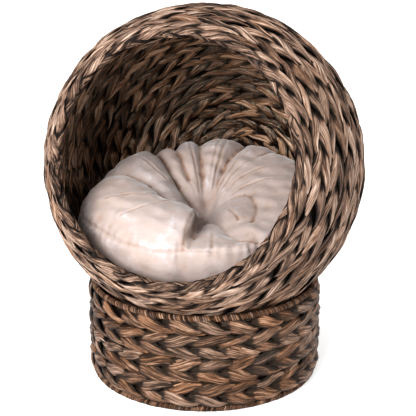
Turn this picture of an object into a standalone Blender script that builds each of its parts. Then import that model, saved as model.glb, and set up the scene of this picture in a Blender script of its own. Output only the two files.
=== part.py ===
"""A wicker pet bed: a round woven pod with a wide tilted mouth stands in a woven
drum base, and a loose tufted cushion lies in it.

Metres, +Z up.  The mouth faces -Y.  The origin is on the floor, under the middle
of the whole basket.
"""

import math

import bmesh
import bpy
from mathutils import Matrix, Vector

# ---- Driving dimensions ---------------------------------------------------

POD_RADIUS = 0.2515  # outside of the pod's weave, under the crests of its leaf
POD_WALL = 0.013  # from the outside of the pod's weave to the inside
POD_HEIGHT = 0.342  # pod's centre above the floor
AXIS_Y = -0.0179  # the pod and the drum stand a little forward of the box's middle
MOUTH_TILT = math.radians(18.2)  # how far the mouth looks up
MOUTH_ANGLE = math.radians(51.0)  # from the mouth's axis to where the wall ends

RING_RADIUS = 0.179  # drum's rings, at the middle of their wire
DRUM_WALL = 0.011  # drum's wall, and the height of each wound ring
RING_HEIGHT = 0.1535  # middle of the drum's wound top ring

SEAT_TILT = math.radians(8.0)  # cushion leans towards the mouth
CUSHION_RADIUS = 0.190  # at the seam of the top panel
SEAM_DEPTH = 0.055  # top seam below the pod's centre
BAND_HEIGHT = 0.060  # side band between the two seams
BAND_BULGE = 0.008
CROWN = 0.020  # top panel's rise over its seam
BELLY = 0.055  # bottom panel's drop under its seam
TUFT_DEPTH = 0.045
TUFT_WIDTH = 0.050

# ---- Smaller sizes --------------------------------------------------------

GAP = 0.0003  # between pieces that touch
WEAVE_OUT = 0.0038  # thickness of the pod's outer weave
WEAVE_IN = 0.0034  # thickness of the pod's inner weave
RIB_WIRE = 0.0012  # radii of wires
HOOP_WIRE = 0.0012
BACK_WIRE = 0.0015
RIM_WIRE = 0.0025
RING_WIRE = 0.0020
POST_WIRE = 0.00175
RIM_HALF = 0.0075  # half the thickness of the braid round the mouth
RIM_REACH = 0.0125  # how far that braid stands out past the wall's end
GROOVE_HALF = 0.0032  # half the width of the groove that holds the rim's wire
GROOVE_DEEP = 0.0075
DRUM_GROOVE = 0.0025  # half the width of the grooves in the drum's wound rings
DRUM_SKIN = 0.0032  # thickness of each of the drum's two weaves
PIN_RADIUS = 0.0015
PIN_HEAD = 0.0034
CLOTH = 0.0015  # thickness of the cushion's cover
TUFT_HOLE = 0.0040
THREAD_RADIUS = 0.0015
KNOT_RADIUS = 0.0065
KNOT_HEIGHT = 0.0030

POD_STEPS = 36  # facets round the pod and the drum
POD_ROWS = 12  # facets from the mouth to the back
CUSHION_STEPS = 24
CUSHION_ROWS = 8
ROUND_STEPS = 6  # facets round a half circle of a wound ring
WIRE_SIDES = 6
PIN_SIDES = 8

RIB_COUNT = 12
HOOP_ROWS = (3, 6, 9)  # rows of facets where a hoop crosses the ribs
BACK_ANGLE = math.radians(174.0)
POST_COUNT = 12
PIN_TURNS = (40.0, 140.0, 200.0, 340.0)  # degrees round the drum

WEAVE_INNER_R = POD_RADIUS - POD_WALL
OUTER_BACK_R = POD_RADIUS - WEAVE_OUT
INNER_BACK_R = WEAVE_INNER_R + WEAVE_IN
MIDDLE_R = POD_RADIUS - POD_WALL / 2
HOOP_R = INNER_BACK_R + GAP + HOOP_WIRE
RIB_R = HOOP_R + HOOP_WIRE + GAP + RIB_WIRE
POD_CENTRE = Vector((0.0, AXIS_Y, POD_HEIGHT))

# colour, roughness, metallic
FINISHES = {
    "leaf": ((0.30, 0.21, 0.15), 0.75, 0.0),
    "dark_leaf": ((0.20, 0.14, 0.10), 0.80, 0.0),
    "leaf_cord": ((0.36, 0.26, 0.18), 0.70, 0.0),
    "steel": ((0.12, 0.12, 0.12), 0.45, 1.0),
    "velvet": ((0.74, 0.62, 0.54), 0.85, 0.0),
    "filling": ((0.85, 0.85, 0.83), 0.95, 0.0),
    "thread": ((0.70, 0.60, 0.52), 0.80, 0.0),
}


# ---- Helpers --------------------------------------------------------------


def new_collection(name):
    collection = bpy.data.collections.new(name)
    bpy.context.scene.collection.children.link(collection)
    return collection


def add_object(name, data, collection, parent=None, finish=None):
    """Put data in the scene as one named piece with a finish of its own."""
    obj = bpy.data.objects.new(name, data)
    collection.objects.link(obj)
    obj.parent = parent
    if finish:
        colour, roughness, metallic = FINISHES[finish]
        material = bpy.data.materials.new(name + "_" + finish)
        material.use_nodes = True
        shader = material.node_tree.nodes["Principled BSDF"]
        shader.inputs["Base Color"].default_value = (*colour, 1.0)
        shader.inputs["Roughness"].default_value = roughness
        shader.inputs["Metallic"].default_value = metallic
        data.materials.append(material)
    return obj


def turned(name, profile, steps, parent, finish, closed=True):
    """Turn a profile of (radius, height) points about its parent's +Z axis.

    A closed profile becomes a ring.  An open one starts and ends on the axis.
    """
    mesh = bpy.data.meshes.new(name)
    edges = [(i, i + 1) for i in range(len(profile) - 1)]
    if closed:
        edges.append((len(profile) - 1, 0))
    mesh.from_pydata([(x, 0.0, z) for x, z in profile], edges, [])
    obj = add_object(name, mesh, parts, parent, finish)
    screw = obj.modifiers.new("turn", "SCREW")
    screw.steps = steps
    screw.render_steps = steps
    screw.use_merge_vertices = True
    screw.merge_threshold = 0.00005
    screw.use_smooth_shade = True
    return obj


def torus(name, ring_radius, wire_radius, height, parent, finish, steps=POD_STEPS):
    """A closed wire ring about its parent's +Z axis, at one height on it."""
    bpy.ops.mesh.primitive_torus_add(
        major_radius=ring_radius,
        minor_radius=wire_radius,
        major_segments=steps,
        minor_segments=WIRE_SIDES,
    )
    made = bpy.context.object
    mesh = made.data
    mesh.name = name
    bpy.data.objects.remove(made)
    mesh.transform(Matrix.Translation((0.0, 0.0, height)))
    mesh.shade_smooth()
    return add_object(name, mesh, parts, parent, finish)


def wire(name, points, radius, parent, finish):
    """A round wire with closed ends through the points."""
    curve = bpy.data.curves.new(name, "CURVE")
    curve.dimensions = "3D"
    curve.bevel_depth = radius
    curve.bevel_resolution = 1
    curve.use_fill_caps = True
    spline = curve.splines.new("POLY")
    spline.points.add(len(points) - 1)
    for point, place in zip(spline.points, points):
        point.co = (*place, 1.0)
    return add_object(name, curve, parts, parent, finish)


def rods(bm, start, end, radius, sides=8):
    """Add one closed round rod from start to end to a bmesh."""
    along = end - start
    turn = along.to_track_quat("Z", "Y").to_matrix().to_4x4()
    place = Matrix.Translation((start + end) / 2) @ turn
    bmesh.ops.create_cone(
        bm,
        cap_ends=True,
        segments=sides,
        radius1=radius,
        radius2=radius,
        depth=along.length,
        matrix=place,
    )


def on_sphere(radius, angle):
    """(radius, height) of a point on a sphere, at an angle from the mouth's axis."""
    return radius * math.sin(angle), radius * math.cos(angle)


def arc(centre, radius, start, end, steps):
    """Points on a circular arc in the profile's plane, both ends included."""
    turns = [math.radians(start + (end - start) * i / steps) for i in range(steps + 1)]
    return [(centre[0] + radius * math.cos(a), centre[1] + radius * math.sin(a)) for a in turns]


def inset(points, distance):
    """Move a profile inwards along its own normals.

    The profile runs down its outer side, so inwards is to the right of travel.
    """
    moved = []
    for i, (x, z) in enumerate(points):
        before = points[max(i - 1, 0)]
        after = points[min(i + 1, len(points) - 1)]
        run = Vector((after[0] - before[0], after[1] - before[1])).normalized()
        moved.append((x + run.y * distance, z - run.x * distance))
    return moved


def skin(points, thickness):
    """Closed profile of a sheet whose outer side is the given profile."""
    return points + list(reversed(inset(points, thickness)))


# ---- Pod ------------------------------------------------------------------

ROW_STEP = (BACK_ANGLE - MOUTH_ANGLE) / POD_ROWS
ROW_ANGLES = [MOUTH_ANGLE + ROW_STEP * i for i in range(POD_ROWS + 1)]


def make_weave_shell(name, outside, inside, finish):
    """Half of the pod's wall: a thin ball shell, open at the mouth."""
    inner = [on_sphere(inside, angle) for angle in reversed(ROW_ANGLES)]
    outer = [on_sphere(outside, angle) for angle in ROW_ANGLES]
    profile = [(0.0, -inside), *inner, *outer, (0.0, -outside)]
    turned(name, profile, POD_STEPS, pod_frame, finish, closed=False)


def make_rim():
    """Braid round the mouth, with a groove at its back that holds a steel hoop."""
    root = Vector(on_sphere(MIDDLE_R, MOUTH_ANGLE))
    across = Vector((math.sin(MOUTH_ANGLE), math.cos(MOUTH_ANGLE)))
    forward = Vector((-math.cos(MOUTH_ANGLE), math.sin(MOUTH_ANGLE)))

    def at(side, reach):
        return tuple(root + across * side + forward * reach)

    nose = [
        (RIM_HALF * math.cos(a), GROOVE_HALF + (RIM_REACH - GROOVE_HALF) * math.sin(a))
        for a in (math.pi * i / ROUND_STEPS for i in range(ROUND_STEPS, -1, -1))
    ]
    section = [
        (-GROOVE_HALF, GROOVE_DEEP),
        (-GROOVE_HALF, GAP),
        (-RIM_HALF, GAP),
        *nose,
        (RIM_HALF, GAP),
        (GROOVE_HALF, GAP),
        (GROOVE_HALF, GROOVE_DEEP),
    ]
    turned("pod_rim_braid", [at(*p) for p in section], POD_STEPS, pod_frame, "leaf")
    radius, height = at(0.0, GROOVE_DEEP - RIM_WIRE - 2 * GAP)
    torus("pod_rim_hoop", radius, RIM_WIRE, height, pod_frame, "steel")


def make_pod_wires():
    """Ribs from the mouth to the back, and hoops inside them, between the weaves."""
    back_gap = (BACK_WIRE + 2 * GAP) / RIB_R
    angles = [*ROW_ANGLES[:-1], BACK_ANGLE - back_gap]
    for i in range(RIB_COUNT):
        turn = 2 * math.pi * i / RIB_COUNT
        points = []
        for angle in angles:
            radius, height = on_sphere(RIB_R, angle)
            points.append((radius * math.cos(turn), radius * math.sin(turn), height))
        wire(f"pod_rib_{i + 1:02d}", points, RIB_WIRE, pod_frame, "steel")
    for i, row in enumerate(HOOP_ROWS):
        radius, height = on_sphere(HOOP_R, ROW_ANGLES[row])
        torus(f"pod_hoop_{i + 1}", radius, HOOP_WIRE, height, pod_frame, "steel")
    radius, height = on_sphere(MIDDLE_R, BACK_ANGLE)
    torus("pod_back_ring", radius, BACK_WIRE, height, pod_frame, "steel", steps=12)


# ---- Drum base ------------------------------------------------------------


def make_wound_rings():
    """Steel rings with leaf cord wound round them, grooved where the posts enter."""
    half = DRUM_WALL / 2
    lip = math.degrees(math.asin(DRUM_GROOVE / half))
    centre = (RING_RADIUS, RING_HEIGHT)
    roof = RING_HEIGHT + RING_WIRE + 3 * GAP
    section = [
        (RING_RADIUS - DRUM_GROOVE, roof),
        *arc(centre, half, 270 - lip, -90 + lip, 2 * ROUND_STEPS),
        (RING_RADIUS + DRUM_GROOVE, roof),
    ]
    turned("base_top_wrap", section, POD_STEPS, drum_frame, "leaf_cord")
    torus("base_top_ring", RING_RADIUS, RING_WIRE, RING_HEIGHT, drum_frame, "steel")

    floor = half - RING_WIRE - 3 * GAP
    foot = half / 2
    section = [
        (RING_RADIUS - DRUM_GROOVE, floor),
        (RING_RADIUS - DRUM_GROOVE, DRUM_WALL),
        (RING_RADIUS - foot, DRUM_WALL),
        *arc((RING_RADIUS - foot, foot), foot, 180, 270, ROUND_STEPS // 2),
        *arc((RING_RADIUS + foot, foot), foot, 270, 360, ROUND_STEPS // 2),
        (RING_RADIUS + foot, DRUM_WALL),
        (RING_RADIUS + DRUM_GROOVE, DRUM_WALL),
        (RING_RADIUS + DRUM_GROOVE, floor),
    ]
    section.reverse()
    turned("base_bottom_wrap", section, POD_STEPS, drum_frame, "leaf_cord")
    torus("base_bottom_ring", RING_RADIUS, RING_WIRE, half, drum_frame, "steel")


def make_drum_wall():
    """Two weaves, one each side of the upright posts."""
    half = DRUM_WALL / 2
    low = DRUM_WALL + GAP
    high = RING_HEIGHT - half - GAP

    def sleeve(name, inside, finish):
        outside = inside + DRUM_SKIN
        section = [(outside, high), (outside, low), (inside, low), (inside, high)]
        turned(name, section, POD_STEPS, drum_frame, finish)

    sleeve("base_outer_weave", RING_RADIUS + half - DRUM_SKIN, "leaf")
    sleeve("base_inner_weave", RING_RADIUS - half, "dark_leaf")

    bottom = half + RING_WIRE + GAP
    top = RING_HEIGHT - RING_WIRE - GAP
    for i in range(POST_COUNT):
        turn = 2 * math.pi * i / POST_COUNT
        place = Vector((RING_RADIUS * math.cos(turn), RING_RADIUS * math.sin(turn), 0.0))
        up = Vector((0.0, 0.0, 1.0))
        bm = bmesh.new()
        rods(bm, place + up * bottom, place + up * top, POST_WIRE)
        mesh = bpy.data.meshes.new("post")
        bm.to_mesh(mesh)
        bm.free()
        mesh.shade_smooth()
        mesh.set_sharp_from_angle(angle=math.radians(60))
        add_object(f"base_post_{i + 1:02d}", mesh, parts, drum_frame, "steel")


def make_fixing_pins():
    """Headed pins that hold the pod down on the drum's top ring."""
    holes = bmesh.new()
    centre = Vector((0.0, 0.0, POD_HEIGHT))
    drop = RING_HEIGHT - POD_HEIGHT
    reach = math.hypot(RING_RADIUS, drop) - RING_WIRE - 2 * GAP
    head = INNER_BACK_R + 3 * GAP
    profile = [
        (0.0, reach),
        (PIN_RADIUS, reach),
        (PIN_RADIUS, head + PIN_RADIUS),
        (PIN_HEAD, head + PIN_RADIUS),
        (PIN_HEAD, head),
        (0.0, head),
    ]
    for i, turn in enumerate(PIN_TURNS):
        around = Matrix.Rotation(math.radians(turn), 3, "Z")
        along = (around @ Vector((RING_RADIUS, 0.0, drop))).normalized()
        name = f"pod_fixing_pin_{i + 1}"
        pin = turned(name, profile, PIN_SIDES, drum_frame, "steel", closed=False)
        pin.location = centre
        pin.rotation_euler = along.to_track_quat("Z", "Y").to_euler()
        start = centre + along * (head + PIN_RADIUS + GAP)
        end = centre + along * (reach + PIN_RADIUS)
        rods(holes, start, end, PIN_RADIUS + 2 * GAP)
    mesh = bpy.data.meshes.new("pin_holes")
    holes.to_mesh(mesh)
    holes.free()
    cutter = add_object("pin_holes", mesh, cutters, drum_frame)
    cutter.hide_render = True
    cutter.display_type = "WIRE"
    for name in ("pod_outer_weave", "base_top_wrap"):
        cut = parts.objects[name].modifiers.new("pin_holes", "BOOLEAN")
        cut.object = cutter
        cut.operation = "DIFFERENCE"
        cut.solver = "EXACT"


# ---- Cushion --------------------------------------------------------------


def dimple(radius):
    """How far the tuft pulls the cover in, at a radius from it."""
    return TUFT_DEPTH * math.exp(-((radius / TUFT_WIDTH) ** 2))


def top_run():
    """Outside of the top panel, from the tuft out to the seam."""
    points = []
    for i in range(CUSHION_ROWS + 1):
        radius = TUFT_HOLE + (CUSHION_RADIUS - TUFT_HOLE) * i / CUSHION_ROWS
        rise = CROWN * (1 - (radius / CUSHION_RADIUS) ** 4)
        points.append((radius, rise - SEAM_DEPTH - dimple(radius)))
    return points


def band_run():
    """Outside of the side band, bulging between its two seams."""
    points = []
    for i in range(5):
        part = i / 4
        radius = CUSHION_RADIUS + BAND_BULGE * math.sin(math.pi * part)
        points.append((radius, -SEAM_DEPTH - BAND_HEIGHT * part))
    return points


def bottom_run():
    """Outside of the bottom panel, from the seam in to the tuft."""
    points = []
    for i in range(CUSHION_ROWS, -1, -1):
        radius = TUFT_HOLE + (CUSHION_RADIUS - TUFT_HOLE) * i / CUSHION_ROWS
        drop = BELLY * (1 - (radius / CUSHION_RADIUS) ** 2)
        points.append((radius, -SEAM_DEPTH - BAND_HEIGHT - drop + dimple(radius)))
    return points


def make_cushion():
    """Three sewn panels over one filling, held in at the middle by a knotted tie."""
    top = top_run()
    band = band_run()
    bottom = bottom_run()
    band_cut = [(band[0][0], band[0][1] - CLOTH - GAP), *band[1:-1]]
    band_cut.append((band[-1][0], band[-1][1] + CLOTH + GAP))
    steps = CUSHION_STEPS
    turned("cushion_top_panel", skin(top, CLOTH), steps, seat_frame, "velvet")
    turned("cushion_side_band", skin(band_cut, CLOTH), steps, seat_frame, "velvet")
    turned("cushion_bottom_panel", skin(bottom, CLOTH), steps, seat_frame, "velvet")

    stuffing = inset(top, 2 * CLOTH)[:-1] + inset(band, 3 * CLOTH)[1:-1]
    stuffing += inset(bottom, 2 * CLOTH)[1:]
    turned("cushion_filling", stuffing, steps, seat_frame, "filling")

    high = top[0][1] + 2 * GAP
    low = bottom[-1][1] - 2 * GAP
    tie = [
        (0.0, high + KNOT_HEIGHT),
        (KNOT_RADIUS * 0.7, high + KNOT_HEIGHT * 0.8),
        (KNOT_RADIUS, high + KNOT_HEIGHT * 0.5),
        (THREAD_RADIUS, high),
        (THREAD_RADIUS, low),
        (KNOT_RADIUS, low - KNOT_HEIGHT * 0.5),
        (KNOT_RADIUS * 0.7, low - KNOT_HEIGHT * 0.8),
        (0.0, low - KNOT_HEIGHT),
    ]
    turned("cushion_tuft_tie", tie, 12, seat_frame, "thread", closed=False)


# ---- Build ----------------------------------------------------------------

for old in list(bpy.data.objects):
    bpy.data.objects.remove(old)

parts = new_collection("wicker_pet_bed")
cutters = new_collection("cutters")

pod_frame = add_object("pod_frame", None, parts)
pod_frame.location = POD_CENTRE
pod_frame.rotation_euler = (math.pi / 2 - MOUTH_TILT, 0.0, 0.0)

drum_frame = add_object("drum_frame", None, parts)
drum_frame.location = (0.0, AXIS_Y, 0.0)

seat_frame = add_object("seat_frame", None, parts)
seat_frame.location = POD_CENTRE
seat_frame.rotation_euler = (SEAT_TILT, 0.0, 0.0)

make_weave_shell("pod_outer_weave", POD_RADIUS, OUTER_BACK_R, "leaf")
make_weave_shell("pod_inner_weave", INNER_BACK_R, WEAVE_INNER_R, "dark_leaf")
make_rim()
make_pod_wires()
make_wound_rings()
make_drum_wall()
make_fixing_pins()
make_cushion()
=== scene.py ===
# %% [markdown]
# # A wicker pet bed
#
# A round pod, twined from twisted leaf, stands in a twined drum.  A tufted velvet
# cushion lies in the pod.  The imported frame gives every size and place, so the first
# step loads it.

# %% Load the frame
import math

import bpy
import numpy as np
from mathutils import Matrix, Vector


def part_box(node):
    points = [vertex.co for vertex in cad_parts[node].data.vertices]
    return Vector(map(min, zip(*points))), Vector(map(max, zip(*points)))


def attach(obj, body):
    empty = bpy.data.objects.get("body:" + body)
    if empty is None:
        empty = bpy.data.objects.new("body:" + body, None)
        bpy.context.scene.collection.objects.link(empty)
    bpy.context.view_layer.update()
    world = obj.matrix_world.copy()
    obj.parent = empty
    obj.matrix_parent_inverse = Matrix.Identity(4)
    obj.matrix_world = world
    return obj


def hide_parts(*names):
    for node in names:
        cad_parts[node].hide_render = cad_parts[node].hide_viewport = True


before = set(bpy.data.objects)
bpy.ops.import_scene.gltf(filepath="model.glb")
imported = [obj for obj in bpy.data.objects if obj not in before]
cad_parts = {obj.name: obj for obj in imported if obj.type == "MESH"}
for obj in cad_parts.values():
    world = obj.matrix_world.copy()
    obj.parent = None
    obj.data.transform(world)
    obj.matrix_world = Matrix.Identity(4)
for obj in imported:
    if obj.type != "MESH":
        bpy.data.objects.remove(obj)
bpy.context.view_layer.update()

# %% [markdown]
# ## Where the pod and the drum are
#
# The pod is a ball with a cap cut off.  Its middle comes from the weave's box, and
# the mouth's axis from the steel hoop in the rim: the hoop lies in a plane, and the
# direction in which its points spread least is the normal of that plane.  Measuring
# the frame is safer than typing sizes twice, because the two can't drift apart.

# %% Measure the pod
X = np.array([1.0, 0.0, 0.0])


def vertices(mesh, what="co"):
    """Place or normal of every vertex of a mesh, as an array of rows."""
    flat = np.empty(len(mesh.vertices) * 3)
    mesh.vertices.foreach_get(what, flat)
    return flat.reshape(-1, 3)


def box_corners(name):
    """Lowest and highest corner of a frame node's box."""
    low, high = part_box(name)
    return np.array(low), np.array(high)


weave_low, weave_high = box_corners("pod_outer_weave")
pod_radius = (weave_high[0] - weave_low[0]) / 2
pod_centre = np.array([0.0, weave_high[1] - pod_radius, weave_high[2] - pod_radius])

hoop = vertices(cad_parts["pod_rim_hoop"].data)
hoop_centre = hoop.mean(axis=0)
spread = np.linalg.svd(hoop - hoop_centre, full_matrices=False)[2]
mouth_axis = spread[2] * np.sign(spread[2] @ (hoop_centre - pod_centre))
mouth_up = np.cross(mouth_axis, X)
print("pod radius", round(pod_radius, 4), "centre", pod_centre.round(4))
print("mouth looks up by", round(math.degrees(math.asin(mouth_axis[2])), 2), "degrees")

# %% [markdown]
# The drum is level and round, so boxes are enough: half the height of its top ring's box
# is the wire's radius, and half its width is the ring's radius and the wire's together.

# %% Measure the drum
ring_low, ring_high = box_corners("base_top_ring")
ring_centre = (ring_low + ring_high) / 2
ring_wire = (ring_high[2] - ring_low[2]) / 2
ring_radius = (ring_high[0] - ring_low[0]) / 2 - ring_wire
wall_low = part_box("base_outer_weave")[0][2]
wall_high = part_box("base_outer_weave")[1][2]
print("drum ring radius", round(ring_radius, 4), "at height", round(ring_centre[2], 4))

# %% [markdown]
# ## Meshes from arrays
#
# Every new surface here is a grid of points worked out by numpy, so one helper turns
# arrays of points and faces into a mesh.  It also checks the sign of the volume that
# the faces close off, and turns them all over if they point inwards.

# %% A mesh from arrays
rng = np.random.default_rng(7)


def signed_volume(points, faces):
    """Sum of the pyramids from the origin to each face, positive if faces point out."""
    first = points[faces[:, 0]]
    total = 0.0
    for k in range(1, faces.shape[1] - 1):
        second = points[faces[:, k]]
        third = points[faces[:, k + 1]]
        total += np.einsum("ij,ij->", first, np.cross(second, third)) / 6
    return total


def new_object(name, data):
    """An object with this data, linked into the scene."""
    obj = bpy.data.objects.new(name, data)
    bpy.context.scene.collection.objects.link(obj)
    return obj


def mesh_piece(name, points, groups, uv=None, tone=None):
    """An object at the origin from a grid of points and groups of faces of one size each.

    uv is one pair for each point, and tone three numbers for each point, a tone, a painted
    shade and a hue, kept as the colour attribute "leaf" for the material to read.
    """
    points = np.asarray(points, dtype=float).reshape(-1, 3)
    if sum(signed_volume(points, faces) for faces in groups) < 0:
        groups = [faces[:, ::-1] for faces in groups]
    sizes = np.concatenate([np.full(len(faces), faces.shape[1]) for faces in groups])
    corners = np.concatenate([faces.ravel() for faces in groups])
    starts = np.concatenate([[0], np.cumsum(sizes)[:-1]])
    mesh = bpy.data.meshes.new(name)
    mesh.vertices.add(len(points))
    mesh.vertices.foreach_set("co", points.ravel())
    mesh.loops.add(len(corners))
    mesh.loops.foreach_set("vertex_index", corners)
    mesh.polygons.add(len(sizes))
    mesh.polygons.foreach_set("loop_start", starts)
    mesh.polygons.foreach_set("loop_total", sizes)
    if uv is not None:
        layer = mesh.uv_layers.new(name="leaf_uv")
        layer.data.foreach_set("uv", uv.reshape(-1, 2)[corners].ravel())
    if tone is not None:
        colour = np.ones((len(points), 4))
        colour[:, :3] = tone.reshape(-1, 3)
        attribute = mesh.attributes.new("leaf", "FLOAT_COLOR", "POINT")
        attribute.data.foreach_set("color", colour.ravel())
    mesh.update(calc_edges=True)
    mesh.validate()
    mesh.shade_smooth()
    print(name, len(points), "points", len(sizes), "faces")
    return new_object(name, mesh)


def grid_faces(rows, columns, turned=False, tube=False):
    """Quads of a grid whose points run row by row.

    turned joins the last row to the first, as on a turned form, and tube the last column
    to the first.
    """
    last_row = rows if turned else rows - 1
    last_column = columns if tube else columns - 1
    r, c = np.meshgrid(np.arange(last_row), np.arange(last_column), indexing="ij")
    below = (r + 1) % rows * columns
    beside = (c + 1) % columns
    quads = [r * columns + c, r * columns + beside, below + beside, below + c]
    return np.stack(quads, axis=-1).reshape(-1, 4)


def pole_faces(rows, columns, first_pole, last_pole):
    """Triangles that close a turned grid at a pole point on each side of its columns."""
    start = np.arange(rows) * columns
    end = start + columns - 1
    first = np.stack([np.full(rows, first_pole), start, np.roll(start, -1)], axis=-1)
    last = np.stack([end, np.full(rows, last_pole), np.roll(end, -1)], axis=-1)
    return np.concatenate([first, last])


# %% [markdown]
# ## The two walls as maps
#
# Leaf is twined round a wall in rows.  It is easier to lay a row out flat, as an angle
# round the axis, a distance across the rows and a lift off the wall, and to let one
# function bend that flat picture onto the real wall.  The pod's wall runs from the
# back of the ball over the outside, round the lip of the mouth and back over the
# inside, so one distance covers all of it, with zero on the lip.

# %% Wall maps
LEAF_DEPTH = 0.0085  # outside of the frame's weave to the middle of the pod's wall
LEAF_HALF = 0.0050  # middle of the pod's wall to the middle of the leaf on each side
DRUM_HALF = 0.0040  # the same on the drum
MIDDLE = pod_radius - LEAF_DEPTH
LIP_ANGLE = math.atan2(
    np.linalg.norm(np.cross(hoop_centre - pod_centre, mouth_axis)) + np.ptp(hoop[:, 0]) / 2,
    (hoop_centre - pod_centre) @ mouth_axis,
)
LIP_QUARTER = LEAF_HALF * math.pi / 2


def pod_section(across):
    """Radius, height and normal of the wall's section, at a distance across from the lip.

    Up to a quarter circle each way it is the lip's half circle; past that it is an arc
    of the outer ball, or of the inner one when the distance is negative.
    """
    side = np.where(across < 0, -1.0, 1.0)
    ball = MIDDLE + side * LEAF_HALF
    past = np.maximum(np.abs(across) - LIP_QUARTER, 0.0)
    angle = LIP_ANGLE + past / ball
    turn = np.clip(across / LEAF_HALF, -math.pi / 2, math.pi / 2)
    out = np.array([math.sin(LIP_ANGLE), math.cos(LIP_ANGLE)])
    fore = np.array([-math.cos(LIP_ANGLE), math.sin(LIP_ANGLE)])
    lip_r = out[0] * np.sin(turn) + fore[0] * np.cos(turn)
    lip_z = out[1] * np.sin(turn) + fore[1] * np.cos(turn)
    on_lip = past <= 0
    radius = np.where(on_lip, MIDDLE * out[0] + LEAF_HALF * lip_r, ball * np.sin(angle))
    height = np.where(on_lip, MIDDLE * out[1] + LEAF_HALF * lip_z, ball * np.cos(angle))
    normal_r = np.where(on_lip, lip_r, side * np.sin(angle))
    normal_z = np.where(on_lip, lip_z, side * np.cos(angle))
    return radius, height, normal_r, normal_z


def on_pod(angle, across, lift):
    """Point of the pod's wall: the section turned about the mouth's axis by the angle."""
    radius, height, normal_r, normal_z = pod_section(across)
    radius = radius + lift * normal_r
    height = height + lift * normal_z
    flat = np.cos(angle)[..., None] * X + np.sin(angle)[..., None] * mouth_up
    return pod_centre + radius[..., None] * flat + height[..., None] * mouth_axis


def about_drum(radius, angle, height):
    """Points at a distance from the drum's axis, an angle round it and a height."""
    return np.stack([radius * np.cos(angle), radius * np.sin(angle) + ring_centre[1], height], axis=-1)


def on_drum(side):
    """Map of one side of the drum's wall, +1 outside and -1 inside; across is the height."""

    def place(angle, across, lift):
        return about_drum(ring_radius + side * (DRUM_HALF + lift), angle, across + 0 * lift)

    return place


print("lip at", round(math.degrees(LIP_ANGLE), 2), "degrees from the mouth's axis")

# %% [markdown]
# ## One strand of twisted leaf
#
# A twined row is a rope of two strands, and what shows of each is a long lobe: it
# comes up from under its neighbour at one edge of the row, crosses the row in a lazy
# S, and dives at the other edge.  Carving that would be hopeless, but as a formula it
# is short: the middle line is a piece of a helix seen flat, the width swells and runs
# out to a point, and the height is the rope's own roundness plus the strand's.  All the
# lobes of a wall are worked out together, as one array.

# %% Lobes of leaf
STATIONS = 9  # cross sections along a lobe
TOP_POINTS = 8  # points over its top; one more closes it below
LOBE_RING = TOP_POINTS + 1
TUCK = 0.32  # how far a lobe runs on under its neighbours, as a share of its length
SWING = 0.56  # swing of a lobe's middle line, as a share of the row's half width
ROPE_RISE = 0.0024  # height of the middle of a row over its edges
ROOT_DIVE = 0.0046  # how far a lobe's root goes under its neighbour
TIP_DIVE = 0.0012
LEAF_THICK = 0.0022
SHARP = math.radians(38)  # edges that bend more than this stay sharp
WOBBLE = {  # how much the lobes differ from each other in each of their measures
    "tuck": 0.22,
    "swing": 0.14,
    "length": 0.08,
    "shift along": 0.04,
    "shift across": 0.07,
    "width": 0.14,
    "crease": 0.34,
    "flutes": 0.5,
    "flute place": 1.0,
    "rise": 0.22,
    "tilt": 0.45,
    "lift": 0.0005,
}
UV_ACROSS = 50  # texture units in a metre across a lobe
UV_ALONG = 20  # and along it
UV_SPREAD = (9, 7)  # how far apart two lobes' places in the texture can be


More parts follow.
